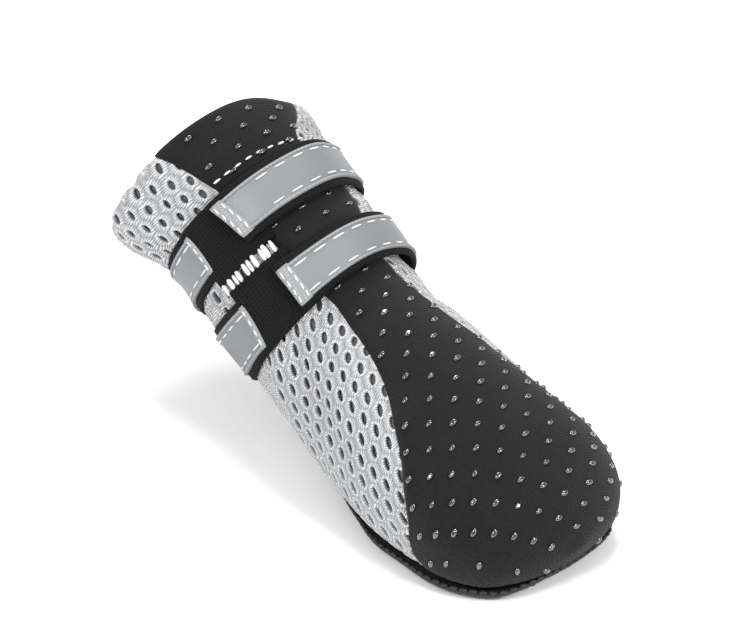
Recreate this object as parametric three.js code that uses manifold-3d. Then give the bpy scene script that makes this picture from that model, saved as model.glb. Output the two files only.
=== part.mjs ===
// Soft dog boot: a sewn upper with a leaning shaft, a sewn-on sole, an insole and two
// hook-and-loop straps. Millimetres, +Z up, toe towards -Y, the wearer's right at -X.
import * as THREE from "three";
import { mergeVertices } from "three/addons/utils/BufferGeometryUtils.js";
import Module from "manifold-3d";

const wasm = await Module();
wasm.setup();
const { Manifold, Mesh: SolidMesh } = wasm;

// ---- Driving dimensions ----
const TOE_TO_ORIGIN = 57.2; // from the toe tip back to the frame's origin
const WALL = 1.6; // sewn cloth with its lining
const GAP = 0.3; // between neighbouring pieces
const FLOOR_WALL = 3.2; // least height of the inside over the floor, where seams double it
const SOLE_THICKNESS = 1.7;
const SOLE_TOE_LIFT = 2.6; // toe spring of the sole's front edge
const SOLE_TOE_REACH = 8; // how far back from the toe tip the spring reaches
const SOLE_RIM_LIFT = 1.3; // cupping of the sole's rim
const SOLE_RIM_WIDTH = 3.5;
const SOLE_FLAT_START = 44; // from here back the cupping fades
const SOLE_FLAT_END = 55; // and from here the rim is flat
const SOLE_RINGS = [2, 1, 0.5, 0]; // the plate's rings, in rim widths in from its edge
const MARGIN = 5; // width of the upper's sewn margin over the sole's rim
const INSOLE_THICKNESS = 1.2;
const INSOLE_INSET = 3.6; // how far the insole's edge lies inside the sole's
const INSOLE_HEIGHT = 4.15; // underside of the insole, just over the sewn margin
const STRAP_THICKNESS = 1.7;
const STRAP_START = 100; // degrees round the shaft where a strap's loop end lies
const STRAP_END = 492; // degrees where its free end lies, over its own start
const STRAP_LIFT_START = 405; // degrees where it starts to climb over itself
const STRAP_LIFT_END = 445;
const STRAP_STEPS = 72; // pieces along a strap
const STRAP_BACK_POWER = 1.5; // how late round the shaft its edges leave their front places
const OUTER_RING = 48; // points round a section, outside
const INNER_RING = 36; // points round a section, inside
const OUTER_STATIONS = 38; // sections from toe to collar, outside
const INNER_STATIONS = 28; // sections from toe to collar, inside

// Sections of the upper. Each lies in a plane across the boot through its top point (front of
// the shaft) and its low point (sole side, back of the shaft). y is the distance from the toe
// tip. half: half width. wide: how far up the section is widest. Powers: 2 is an ellipse, more
// is squarer.
const SECTIONS = [
  { topY: 0.4, topZ: 11.6, lowY: 0.6, lowZ: 6.8, half: 4.5, wide: 0.5, lowPow: 2.0, topPow: 2.0 },
  { topY: 1.6, topZ: 14.6, lowY: 2.0, lowZ: 4.7, half: 10.5, wide: 0.45, lowPow: 2.4, topPow: 2.0 },
  { topY: 4.0, topZ: 18.4, lowY: 4.6, lowZ: 3.2, half: 15.9, wide: 0.4, lowPow: 3.0, topPow: 2.0 },
  { topY: 8.0, topZ: 22.6, lowY: 8.8, lowZ: 2.4, half: 20.0, wide: 0.36, lowPow: 4.0, topPow: 2.0 },
  { topY: 14.3, topZ: 26.9, lowY: 15.5, lowZ: 2.2, half: 22.6, wide: 0.33, lowPow: 5.0, topPow: 2.0 },
  { topY: 21.6, topZ: 30.4, lowY: 23.5, lowZ: 2.2, half: 23.4, wide: 0.32, lowPow: 5.0, topPow: 2.0 },
  { topY: 30.0, topZ: 33.4, lowY: 33.0, lowZ: 2.2, half: 23.2, wide: 0.33, lowPow: 4.5, topPow: 2.0 },
  { topY: 39.0, topZ: 36.0, lowY: 44.0, lowZ: 2.2, half: 22.3, wide: 0.36, lowPow: 3.6, topPow: 2.0 },
  { topY: 48.0, topZ: 38.0, lowY: 55.5, lowZ: 2.1, half: 21.2, wide: 0.4, lowPow: 2.8, topPow: 2.0 },
  { topY: 55.5, topZ: 39.8, lowY: 66.0, lowZ: -0.6, half: 20.4, wide: 0.43, lowPow: 2.2, topPow: 2.0 },
  { topY: 62.0, topZ: 42.8, lowY: 75.0, lowZ: 1.0, half: 19.9, wide: 0.47, lowPow: 2.0, topPow: 2.0 },
  { topY: 68.0, topZ: 46.8, lowY: 82.5, lowZ: 9.0, half: 19.7, wide: 0.5, lowPow: 2.0, topPow: 2.0 },
  { topY: 75.5, topZ: 51.4, lowY: 91.5, lowZ: 15.8, half: 19.7, wide: 0.5, lowPow: 2.0, topPow: 2.0 },
  { topY: 83.0, topZ: 55.8, lowY: 99.0, lowZ: 21.8, half: 19.8, wide: 0.5, lowPow: 2.0, topPow: 2.0 },
  { topY: 90.5, topZ: 60.0, lowY: 107.5, lowZ: 25.6, half: 21.2, wide: 0.5, lowPow: 2.0, topPow: 2.0 },
  { topY: 99.0, topZ: 64.6, lowY: 114.0, lowZ: 31.5, half: 21.4, wide: 0.5, lowPow: 2.0, topPow: 2.0 },
];
const COLLAR = SECTIONS.length - 1;

// Sole outline, from the toe back along one side. y is the distance from the toe tip.
const SOLE_OUTLINE = [
  { y: 2.2, half: 0 },
  { y: 3.3, half: 10.0 },
  { y: 5.8, half: 15.0 },
  { y: 12.2, half: 20.3 },
  { y: 18.4, half: 22.5 },
  { y: 26.5, half: 23.0 },
  { y: 34.0, half: 22.7 },
  { y: 41.0, half: 20.2 },
  { y: 47.0, half: 17.6 },
  { y: 54.0, half: 13.2 },
  { y: 58.5, half: 9.8 },
  { y: 60.7, half: 5.0 },
  { y: 61.0, half: 0 },
];
const SOLE_STEPS = 64; // points round the sole

// The two straps: their edges at the front and at the back, counted along SECTIONS.
const STRAPS = [
  { name: "lower_strap", frontLow: 10.0, frontHigh: 11.3, backLow: 10.95, backHigh: 12.0 },
  { name: "upper_strap", frontLow: 12.15, frontHigh: 13.4, backLow: 12.3, backHigh: 13.4 },
];

// ---- Sections ----
const COLUMNS = Object.keys(SECTIONS[0]);

// Smooth curve through one column of a table (Catmull-Rom).
function along(table, column, s) {
  const last = table.length - 1;
  const i = Math.min(Math.max(Math.floor(s), 0), last - 1);
  const at = (k) => table[Math.min(Math.max(k, 0), last)][column];
  const [a, b, c, d] = [at(i - 1), at(i), at(i + 1), at(i + 2)];
  const t = s - i;
  const slopeB = (c - a) / 2;
  const slopeC = (d - b) / 2;
  const rest = 3 * (c - b) - 2 * slopeB - slopeC;
  return b + t * (slopeB + t * (rest + t * (slopeB + slopeC - 2 * (c - b))));
}

function section(s) {
  return Object.fromEntries(COLUMNS.map((column) => [column, along(SECTIONS, column, s)]));
}

const signedPower = (value, power) => Math.sign(value) * Math.abs(value) ** power;

// Point of the upper's surface, moved outwards by `out` and not under `floor`. Angle 0 is the
// wearer's left, 90 the top or front, 180 the right and 270 the sole side or back.
function surface(s, degrees, out = 0, floor = 0) {
  const row = section(s);
  const angle = THREE.MathUtils.degToRad(degrees);
  const low = new THREE.Vector2(row.lowY, row.lowZ);
  const up = new THREE.Vector2(row.topY, row.topZ).sub(low);
  const height = up.length();
  up.normalize();
  const above = Math.sin(angle) > 0;
  const power = 2 / (above ? row.topPow : row.lowPow);
  const middle = height * row.wide;
  const reach = (above ? height - middle : middle) + out;
  const rise = middle + reach * signedPower(Math.sin(angle), power);
  const x = (row.half + out) * signedPower(Math.cos(angle), power);
  const z = Math.max(low.y + up.y * rise, floor);
  return new THREE.Vector3(x, low.x + up.x * rise - TOE_TO_ORIGIN, z);
}

const ring = (s, count, out, floor) =>
  Array.from({ length: count }, (_, k) => surface(s, (360 * k) / count, out, floor));

// ---- Solids from rings ----
// Closed body through rings of equal length, its ends closed on their middle points.
function skin(rings) {
  const count = rings[0].length;
  const points = rings.flat();
  const faces = [];
  for (let r = 0; r + 1 < rings.length; r++) {
    for (let k = 0; k < count; k++) {
      const a = r * count + k;
      const b = r * count + ((k + 1) % count);
      faces.push(a, a + count, b, b, a + count, b + count);
    }
  }
  for (const [r, flip] of [[0, false], [rings.length - 1, true]]) {
    const middle = new THREE.Vector3();
    rings[r].forEach((point) => middle.addScaledVector(point, 1 / count));
    points.push(middle);
    for (let k = 0; k < count; k++) {
      const a = r * count + k;
      const b = r * count + ((k + 1) % count);
      faces.push(...(flip ? [points.length - 1, b, a] : [points.length - 1, a, b]));
    }
  }
  const geometry = new THREE.BufferGeometry().setFromPoints(points);
  geometry.setIndex(faces);
  return geometry;
}

const MERGE_DISTANCE = 1e-4; // points closer than this are one

function solid(geometry) {
  const plain = geometry.clone();
  plain.deleteAttribute("normal");
  plain.deleteAttribute("uv");
  const merged = mergeVertices(plain, MERGE_DISTANCE);
  const vertProperties = new Float32Array(merged.attributes.position.array);
  const triVerts = new Uint32Array(merged.index.array);
  const body = new Manifold(new SolidMesh({ numProp: 3, vertProperties, triVerts }));
  return body.volume() < 0 ? flipped(vertProperties, triVerts) : body;
}

function flipped(vertProperties, triVerts) {
  const turned = triVerts.map((_, i) => triVerts[i - (i % 3) + (2 - (i % 3))]);
  return new Manifold(new SolidMesh({ numProp: 3, vertProperties, triVerts: turned }));
}

function geometryOf(body) {
  const { vertProperties, triVerts } = body.getMesh();
  const geometry = new THREE.BufferGeometry();
  geometry.setAttribute("position", new THREE.BufferAttribute(new Float32Array(vertProperties), 3));
  geometry.setIndex(new THREE.BufferAttribute(new Uint32Array(triVerts), 1));
  geometry.computeVertexNormals();
  return geometry;
}

// ---- Sole ----
const SOLE_CURVE = new THREE.CatmullRomCurve3(
  [
    ...SOLE_OUTLINE.map(({ y, half }) => new THREE.Vector3(half, y, 0)),
    ...SOLE_OUTLINE.slice(1, -1).reverse().map(({ y, half }) => new THREE.Vector3(-half, y, 0)),
  ],
  true,
  "centripetal",
);

// Sole outline moved outwards by `out`, y from the toe tip.
function outline(out, count = SOLE_STEPS) {
  return Array.from({ length: count }, (_, k) => {
    const point = SOLE_CURVE.getPointAt(k / count);
    const tangent = SOLE_CURVE.getTangentAt(k / count);
    return point.add(new THREE.Vector3(tangent.y, -tangent.x, 0).multiplyScalar(out));
  });
}

const smallStep = (value) => Math.min(Math.max(value, 0), 1) ** 2;

// Height of the sole's underside at a point this far inside its rim.
function soleLift(y, inside) {
  const toe = SOLE_TOE_LIFT * smallStep(1 - (y - SOLE_OUTLINE[0].y) / SOLE_TOE_REACH);
  const cupped = 1 - THREE.MathUtils.smoothstep(y, SOLE_FLAT_START, SOLE_FLAT_END);
  const rim = SOLE_RIM_LIFT * cupped * smallStep(1 - inside / SOLE_RIM_WIDTH);
  return Math.max(toe, rim);
}

// Plate with the sole's outline moved by `out`, between two heights over the sole's underside.
function solePlate(out, bottom, top) {
  const insets = SOLE_RINGS.map((widths) => widths * SOLE_RIM_WIDTH);
  const rows = insets.map((inside) => ({ inside, points: outline(out - inside) }));
  const level = ({ inside, points }, height) =>
    points.map(({ x, y }) => new THREE.Vector3(x, y - TOE_TO_ORIGIN, soleLift(y, inside) + height));
  const under = rows.map((row) => level(row, bottom));
  const over = rows.map((row) => level(row, top)).reverse();
  return skin([...under, ...over]);
}

// Straight prism through the sole's outline moved by `out`, between two heights.
function outlinePrism(out, bottom, top) {
  const at = (z) => outline(out).map(({ x, y }) => new THREE.Vector3(x, y - TOE_TO_ORIGIN, z));
  return skin([at(bottom), at(top)]);
}

// ---- Upper ----
const BELOW = -8; // a height under everything
const OPENING_TOP = 4.8; // a height over the upper's sewn margin, where the opening underneath ends
const COLLAR_CLEARANCE = 6; // how far the inside runs on past the collar
const INSIDE_START = 0.85; // where the inside begins at the toe, counted along SECTIONS

const stations = (from, count) =>
  Array.from({ length: count }, (_, k) => from + ((COLLAR - from) * k) / (count - 1));

// The space inside the upper, moved inwards by `inset` and run on through the collar.
function hollow(inset) {
  const rings = stations(INSIDE_START, INNER_STATIONS).map((s) =>
    ring(s, INNER_RING, -inset, FLOOR_WALL),
  );
  const end = section(COLLAR);
  const across = new THREE.Vector2(end.topY - end.lowY, end.topZ - end.lowZ).normalize();
  const onward = new THREE.Vector3(0, across.y, -across.x).multiplyScalar(COLLAR_CLEARANCE);
  rings.push(rings.at(-1).map((point) => point.clone().add(onward)));
  return solid(skin(rings));
}

function upperGeometry() {
  const outside = stations(0, OUTER_STATIONS).map((s) => ring(s, OUTER_RING, 0));
  const shell = solid(skin(outside)).subtract(hollow(WALL));
  const opening = outlinePrism(-MARGIN, BELOW, OPENING_TOP);
  const room = solePlate(GAP, BELOW, SOLE_THICKNESS + GAP);
  return geometryOf(shell.subtract(solid(opening)).subtract(solid(room)));
}

function insoleGeometry() {
  const top = INSOLE_HEIGHT + INSOLE_THICKNESS;
  const sheet = solid(outlinePrism(-INSOLE_INSET, INSOLE_HEIGHT, top));
  return geometryOf(sheet.intersect(hollow(WALL + GAP)));
}

// ---- Straps ----
// A band that runs round the shaft and over its own start.
function strapGeometry({ frontLow, frontHigh, backLow, backHigh }) {
  const rings = [];
  for (let k = 0; k <= STRAP_STEPS; k++) {
    const degrees = STRAP_START + ((STRAP_END - STRAP_START) * k) / STRAP_STEPS;
    const climb = THREE.MathUtils.smoothstep(degrees, STRAP_LIFT_START, STRAP_LIFT_END);
    const inner = GAP + climb * (STRAP_THICKNESS + GAP);
    const outer = inner + STRAP_THICKNESS;
    const back = ((1 - Math.sin(THREE.MathUtils.degToRad(degrees))) / 2) ** STRAP_BACK_POWER;
    const low = THREE.MathUtils.lerp(frontLow, backLow, back);
    const high = THREE.MathUtils.lerp(frontHigh, backHigh, back);
    const middle = (low + high) / 2;
    const corner = (s, out) => surface(s, degrees, out);
    rings.push([
      corner(low, inner), corner(middle, inner), corner(high, inner),
      corner(high, outer), corner(middle, outer), corner(low, outer),
    ]);
  }
  return skin(rings);
}

// ---- Materials ----
const material = (color, roughness) =>
  new THREE.MeshStandardMaterial({ color, roughness, metalness: 0 });
const CLOTH = material("#b9bbbd", 0.85);
const RUBBER = material("#1d1e20", 0.7);
const FOAM = material("#2b2b2d", 0.9);
const WEBBING = material("#1b1b1d", 0.8);

function piece(name, geometry, look) {
  const mesh = new THREE.Mesh(geometry, look);
  mesh.name = name;
  return mesh;
}

// ---- Boot ----
const boot = new THREE.Group();
boot.add(piece("upper", upperGeometry(), CLOTH));
boot.add(piece("sole", geometryOf(solid(solePlate(0, 0, SOLE_THICKNESS))), RUBBER));
boot.add(piece("insole", insoleGeometry(), FOAM));
for (const strap of STRAPS) {
  boot.add(piece(strap.name, geometryOf(solid(strapGeometry(strap))), WEBBING));
}

export default boot;
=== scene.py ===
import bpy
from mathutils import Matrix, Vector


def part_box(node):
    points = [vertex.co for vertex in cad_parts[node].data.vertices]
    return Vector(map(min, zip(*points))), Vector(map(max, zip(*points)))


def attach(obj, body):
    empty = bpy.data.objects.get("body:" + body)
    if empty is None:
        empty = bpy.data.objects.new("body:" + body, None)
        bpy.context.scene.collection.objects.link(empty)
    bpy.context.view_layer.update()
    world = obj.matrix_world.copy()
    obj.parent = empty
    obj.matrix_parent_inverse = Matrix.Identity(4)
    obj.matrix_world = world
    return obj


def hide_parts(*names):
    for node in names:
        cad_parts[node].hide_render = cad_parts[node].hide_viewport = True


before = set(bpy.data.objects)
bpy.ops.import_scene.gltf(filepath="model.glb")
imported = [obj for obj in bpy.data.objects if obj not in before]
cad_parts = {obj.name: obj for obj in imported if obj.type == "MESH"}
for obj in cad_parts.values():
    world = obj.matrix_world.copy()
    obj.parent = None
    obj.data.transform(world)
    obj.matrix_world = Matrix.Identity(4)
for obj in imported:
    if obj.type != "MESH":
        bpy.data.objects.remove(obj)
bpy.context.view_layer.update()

# ==== The form of the cloth, and the lining ====
# The upper is one sewn tube of cloth. Its sections run from the toe to the collar, and every
# layer is a distance in or out from them. The lining is a bag of thin grey tricot, sewn in
# with the seams, that shows through the holes of the air mesh and inside the collar.
import math
import bmesh
import bpy
import numpy as np
from mathutils import Quaternion, Vector

MM = 0.001
toe_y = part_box("upper")[0].y - 0.4 * MM  # y of the toe tip

# Sections, each in a plane across the boot through its top point and its low point. A row is
# y and z of the top, y and z of the low point and half the width, in mm from the toe tip and the
# floor, how far up it is widest, and its low and top powers: 2 is an ellipse, more is squarer.
SECTIONS = np.array([
    (-0.3, 9.6, -0.3, 9.0, 0.6, 0.50, 2.0, 2.0),
    (0.4, 11.6, 0.6, 6.8, 4.5, 0.50, 2.0, 2.0),
    (1.6, 14.6, 2.0, 4.7, 10.5, 0.45, 2.4, 2.0),
    (4.0, 18.4, 4.6, 3.2, 15.9, 0.40, 3.0, 2.0),
    (8.0, 22.6, 8.8, 2.4, 20.0, 0.36, 4.0, 2.0),
    (14.3, 26.9, 15.5, 2.2, 22.6, 0.33, 5.0, 2.0),
    (21.6, 30.4, 23.5, 2.2, 23.4, 0.32, 5.0, 2.0),
    (30.0, 33.4, 33.0, 2.2, 23.2, 0.33, 4.5, 2.0),
    (39.0, 36.0, 44.0, 2.2, 22.3, 0.36, 3.6, 2.0),
    (48.0, 38.0, 55.5, 2.1, 21.2, 0.40, 2.8, 2.0),
    (55.5, 39.8, 66.0, -0.6, 20.4, 0.43, 2.2, 2.0),
    (62.0, 42.8, 75.0, 1.0, 19.9, 0.47, 2.0, 2.0),
    (68.0, 46.8, 82.5, 9.0, 19.7, 0.50, 2.0, 2.0),
    (75.5, 51.4, 91.5, 15.8, 19.7, 0.50, 2.0, 2.0),
    (83.0, 55.8, 99.0, 21.8, 19.8, 0.50, 2.0, 2.0),
    (90.5, 60.0, 107.5, 25.6, 21.2, 0.50, 2.0, 2.0),
    (99.0, 64.6, 114.0, 31.5, 21.4, 0.50, 2.0, 2.0),
])
COLLAR = len(SECTIONS) - 1.0  # station of the collar's rim; the toe tip is station 0


def smooth(edge0, edge1, x):
    t = np.clip((x - edge0) / (edge1 - edge0), 0.0, 1.0)
    return t * t * (3.0 - 2.0 * t)


def hump(away, width):
    """1 in the middle, falling off to nothing on both sides."""
    return np.exp(-((away / width) ** 2))


def unit(vectors):
    """The vectors at length 1."""
    return vectors / np.maximum(np.linalg.norm(vectors, axis=-1, keepdims=True), 1e-9)


def run_along(line):
    """How far each point of a line is from its first, along it."""
    return np.r_[0.0, np.cumsum(np.linalg.norm(np.diff(line, axis=0), axis=1))]


def section(station):
    """The section table at any station, on a Catmull-Rom curve."""
    last = len(SECTIONS) - 1
    i = np.clip(np.floor(station).astype(int), 0, last - 1)
    a, b, c, d = (SECTIONS[np.clip(i + k, 0, last)] for k in (-1, 0, 1, 2))
    t = (station - i)[..., None]
    slope_b, slope_c = (c - a) / 2.0, (d - b) / 2.0
    rest = 3.0 * (c - b) - 2.0 * slope_b - slope_c
    return b + t * (slope_b + t * (rest + t * (slope_b + slope_c - 2.0 * (c - b))))


def bare_form(station, angle):
    """Points in mm on the form. Angle in degrees: 0 the wearer's left, 90 top or front, 180
    right, 270 sole side or back."""
    top_y, top_z, low_y, low_z, half, wide, low_power, top_power = np.moveaxis(section(station), -1, 0)
    turn = np.radians(angle)
    up_y, up_z = top_y - low_y, top_z - low_z
    height = np.hypot(up_y, up_z)
    above = np.sin(turn) > 0.0
    power = 2.0 / np.where(above, top_power, low_power)
    middle = height * wide
    reach = np.where(above, height - middle, middle)
    rise = middle + reach * np.sign(np.sin(turn)) * np.abs(np.sin(turn)) ** power
    x = half * np.sign(np.cos(turn)) * np.abs(np.cos(turn)) ** power
    z = np.maximum(low_z + up_z / height * rise, 0.0)
    return np.stack([x, low_y + up_y / height * rise, z], -1)


def form(station, angle, out=0.0):
    """Points in metres on the form, moved `out` mm along its normal."""
    station, angle, out = np.broadcast_arrays(
        np.asarray(station, float), np.asarray(angle, float), np.asarray(out, float))
    step_s, step_a = 0.04, 1.5  # stations and degrees to each side, for the normal
    along = bare_form(np.minimum(station + step_s, COLLAR), angle)
    along = along - bare_form(np.maximum(station - step_s, 0.0), angle)
    around = bare_form(station, angle + step_a) - bare_form(station, angle - step_a)
    point = bare_form(station, angle) + unit(np.cross(along, around)) * out[..., None]
    return point * MM + np.array([0.0, toe_y, 0.0])


# Angle for each station and part of the girth, so that steps round the boot are even. Part 0
# is the front, 0.25 the wearer's right, 0.5 the back and 0.75 the left.
STATION_STEPS, GIRTH_STEPS = 129, 241
station_grid = np.linspace(0.0, COLLAR, STATION_STEPS)
fine_angles = np.linspace(90.0, 450.0, 721)
girth_parts = np.linspace(0.0, 1.0, GIRTH_STEPS)
angle_grid = np.empty((STATION_STEPS, GIRTH_STEPS))
girth_grid = np.empty(STATION_STEPS)
for row_number, row_station in enumerate(station_grid):
    run = run_along(bare_form(np.full(fine_angles.shape, row_station), fine_angles))
    girth_grid[row_number] = run[-1]
    angle_grid[row_number] = np.interp(girth_parts, run / run[-1], fine_angles)


def angle_at(station, part):
    """Angle of a part of the girth, where parts under 0 and over 1 go on round."""
    whole = np.floor(part)
    row = np.clip(station / COLLAR * (STATION_STEPS - 1), 0, STATION_STEPS - 1.001)
    col = np.clip((part - whole) * (GIRTH_STEPS - 1), 0, GIRTH_STEPS - 1.001)
    r, c = np.floor(row).astype(int), np.floor(col).astype(int)
    fr, fc = row - r, col - c
    low = angle_grid[r, c] * (1 - fc) + angle_grid[r, c + 1] * fc
    high = angle_grid[r + 1, c] * (1 - fc) + angle_grid[r + 1, c + 1] * fc
    return low * (1 - fr) + high * fr + 360.0 * whole


# Where the straps squeeze the shaft, in stations at the front and at the back.
STRAPS = {
    "lower": {"front": (11.0, 12.3), "back": (11.95, 13.0)},
    "upper": {"front": (13.15, 14.4), "back": (13.3, 14.4)},
}


def strap_edges(strap, angle):
    """Stations of a strap's two edges at an angle round the shaft."""
    back = ((1.0 - np.sin(np.radians(angle))) / 2.0) ** 1.5
    return [f + (b - f) * back for f, b in zip(STRAPS[strap]["front"], STRAPS[strap]["back"])]


def turned_from(angle, middle):
    """Degrees from an angle round the boot, from -180 to 180."""
    return (angle - middle + 180.0) % 360.0 - 180.0


HEEL_DENT, FOREFOOT_DENT = -3.9, -1.2  # mm


def settled(station, angle):
    """Broad dents, in mm, where the empty boot has sunk in: behind the ankle on the wearer's
    right, where both bands follow it, and along the forefoot on the left."""
    heel = hump(turned_from(angle, 212.0), 42.0) * hump(station - 10.5, 1.5)
    forefoot = hump(turned_from(angle, 38.0), 24.0) * hump(station - 7.0, 1.5)
    return HEEL_DENT * heel + FOREFOOT_DENT * forefoot


# Creases, each a soft trough or ridge: the station and angle it runs from, the station and
# angle it runs to, and its width and height in mm. A trough has a height under 0.
STATION_MM, DEGREE_MM = 8.5, 0.37  # about how long a station and a degree are on the cloth
CREASES = [
    (10.7, 150, 8.3, 172, 2.6, -0.95),  # down the right side from the lower band
    (10.7, 174, 8.8, 204, 2.4, 0.7),
    (9.9, 128, 8.6, 140, 2.2, 0.45),
    (10.5, 60, 8.8, 30, 2.4, -0.8),  # down the left side
    (10.8, 38, 9.6, 8, 2.2, 0.6),
    (10.0, 92, 9.7, 120, 2.0, -0.5),  # across the instep
    (10.5, 76, 10.3, 110, 1.7, -0.45),
    (9.5, 232, 9.5, 308, 2.4, -0.8),  # over the heel
    (15.0, 163, 16.0, 170, 1.7, -0.9),  # gathers of the collar
    (14.9, 188, 16.0, 194, 1.7, 0.6),
    (14.9, 215, 16.0, 224, 1.9, -1.0),
    (14.9, 268, 16.0, 262, 1.9, -0.8),
    (14.9, 330, 16.0, 336, 1.9, -0.8),
    (14.9, 18, 16.0, 12, 1.7, -0.7),
    (7.6, 56, 6.2, 30, 3.0, -0.5),  # forefoot
    (6.4, 128, 5.2, 152, 3.0, -0.45),
    (4.6, 100, 5.6, 78, 5.0, -0.4),
]


def creased(station, angle):
    """Height in mm of all the creases at a place."""
    total = 0.0
    for from_s, from_a, to_s, to_a, width, depth in CREASES:
        along = np.array([(to_s - from_s) * STATION_MM, (to_a - from_a) * DEGREE_MM])
        here = (station - from_s) * STATION_MM, turned_from(angle, from_a) * DEGREE_MM
        t = np.clip((here[0] * along[0] + here[1] * along[1]) / (along @ along), 0.0, 1.0)
        away = (here[0] - t * along[0]) ** 2 + (here[1] - t * along[1]) ** 2
        total = total + depth * np.exp(-away / width ** 2)
    return total


RIGHT_PUFF, LEFT_PUFF, LIP = 4.6, 1.6, 1.3  # mm that the collar's mesh and its front edge stand out
COLLAR_PLEATS, ANKLE_PLEATS, RIB_HEIGHT, SAG_DEPTH = 0.55, 0.3, 0.45, 0.35  # mm
SQUEEZE = 0.45  # mm that the straps pull the cloth in


def slack(station, angle):
    """How far in mm the limp cloth lies off the form: pulled in by the straps, puffed and
    gathered beside them, ribbed between them, and sagging and creased on the foot."""
    squeeze = 0.0
    for strap in STRAPS:
        low, high = strap_edges(strap, angle)
        middle, half = (low + high) / 2.0, (high - low) / 2.0
        squeeze = squeeze + np.exp(-(((station - middle) / (half * 1.05)) ** 4))
    turn = np.radians(angle)
    back = 0.5 - 0.5 * np.sin(turn)
    gather = np.sin(turn * 11.0 + 0.8 * np.sin(turn * 3.0))
    pleats = COLLAR_PLEATS * hump(station - 15.0, 0.9) + ANKLE_PLEATS * hump(station - 10.6, 0.8)
    puff = RIGHT_PUFF * hump(turned_from(angle, 205.0), 52.0)
    puff = puff + LEFT_PUFF * hump(turned_from(angle, 330.0), 50.0)
    lip = LIP * hump(turned_from(angle, 135.0), 30.0) * smooth(14.6, 15.7, station)
    between = hump(station - 12.85, 0.32) * smooth(0.35, 0.8, np.abs(np.cos(turn)))
    ribs = RIB_HEIGHT * between * np.sin(turn * 62.0)
    sag = SAG_DEPTH * np.sin(station * 1.9 + turn * 2.0) * smooth(5.0, 8.0, station)
    sag = sag * (1.0 - smooth(10.0, 11.0, station)) * back
    soft = gather * back * pleats + puff * hump(station - 15.65, 0.8) + sag + lip + ribs
    return soft + settled(station, angle) + creased(station, angle) - SQUEEZE * np.minimum(squeeze, 1.0)


COLLAR_DIP = 0.5  # stations that the collar dips at its front left


def cloth(station, part, out=0.0):
    """Points in metres on the limp cloth."""
    station, part = np.broadcast_arrays(np.asarray(station, float), np.asarray(part, float))
    angle = angle_at(station, part)
    dip = COLLAR_DIP * hump(turned_from(angle, 52.0), 30.0) * smooth(14.5, COLLAR, station)
    return form(station - dip, angle, out + slack(station, angle))


def linear(hex_colour, alpha=1.0):
    """sRGB hex to the linear values that shaders use."""
    values = [int(hex_colour[k:k + 2], 16) / 255.0 for k in (1, 3, 5)]
    curve = [v / 12.92 if v <= 0.04045 else ((v + 0.055) / 1.055) ** 2.4 for v in values]
    return (*curve, alpha)


def fill(tree, node, inputs):
    """Sets or links a node's inputs by name or number."""
    for key, value in inputs.items():
        socket = node.inputs[key]
        if isinstance(value, bpy.types.NodeSocket):
            tree.links.new(value, socket)
        else:
            socket.default_value = value


def add(tree, kind, inputs=(), **settings):
    """Adds a node, sets its settings, and fills its inputs."""
    made = tree.nodes.new(kind)
    for key, value in settings.items():
        setattr(made, key, value)
    fill(tree, made, dict(inputs))
    return made


WAVE = math.tau / 20.0  # a wave texture's bands are this over its scale apart


def new_material(name):
    """An empty material with its shader and output."""
    material = bpy.data.materials.new(name)
    material.use_nodes = True
    tree = material.node_tree
    tree.nodes.clear()
    shader = add(tree, "ShaderNodeBsdfPrincipled")
    add(tree, "ShaderNodeOutputMaterial", {"Surface": shader.outputs["BSDF"]})
    return material, tree, shader


def lay_uv(mesh, uv):
    """Gives a mesh its flat map, from the place of each of its vertices on it."""
    layer = mesh.uv_layers.new(name="UVMap")
    corner = np.empty(len(mesh.loops), int)
    mesh.loops.foreach_get("vertex_index", corner)
    layer.data.foreach_set("uv", np.asarray(uv).reshape(-1, 2)[corner].ravel())


def new_piece(name, points, faces, materials=(), smooth_faces=True, uv=None):
    """A mesh object from points in metres and faces."""
    mesh = bpy.data.meshes.new(name)
    mesh.from_pydata(np.asarray(points).reshape(-1, 3).tolist(), [], [tuple(map(int, f)) for f in faces])
    if uv is not None:
        lay_uv(mesh, uv)
    mesh.polygons.foreach_set("use_smooth", [smooth_faces] * len(mesh.polygons))
    piece = bpy.data.objects.new(name, mesh)
    bpy.context.scene.collection.objects.link(piece)
    for material in materials:
        mesh.materials.append(material)
    mesh.update()
    return piece


def grid_faces(rows, columns, closed=False, start=0):
    """Quads of a grid of points, row by row. closed joins the last column to the first."""
    r, c = np.meshgrid(np.arange(rows - 1), np.arange(columns if closed else columns - 1), indexing="ij")
    a = start + r * columns + c
    b = start + r * columns + (c + 1) % columns
    return np.stack([a, b, b + columns, a + columns], -1).reshape(-1, 4)


def facing_out(piece):
    """Merges doubles and turns every face of a closed piece outwards."""
    work = bmesh.new()
    work.from_mesh(piece.data)
    bmesh.ops.remove_doubles(work, verts=work.verts, dist=1e-6)
    bmesh.ops.recalc_face_normals(work, faces=work.faces)
    work.to_mesh(piece.data)
    work.free()
    return piece


def grey_tricot():
    """Brushed warp-knit lining: soft, light grey, with a fine rib that dulls it."""
    material, tree, shader = new_material("grey_tricot_lining")
    place = add(tree, "ShaderNodeTexCoord").outputs["Object"]
    rib = add(tree, "ShaderNodeTexWave", {
        "Vector": place, "Scale": WAVE / (0.6 * MM), "Distortion": 1.5}, bands_direction="X")
    shade = add(tree, "ShaderNodeMix", {
        "Factor": rib.outputs["Fac"], "A": linear("#66696c"), "B": linear("#787b7e")}, data_type="RGBA")
    bump = add(tree, "ShaderNodeBump", {"Height": rib.outputs["Fac"], "Strength": 0.35, "Distance": 0.0002})
    fill(tree, shader, {
        "Base Color": shade.outputs["Result"], "Normal": bump.outputs["Normal"], "Roughness": 0.95,
        "Specular IOR Level": 0.2})
    return material


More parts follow.
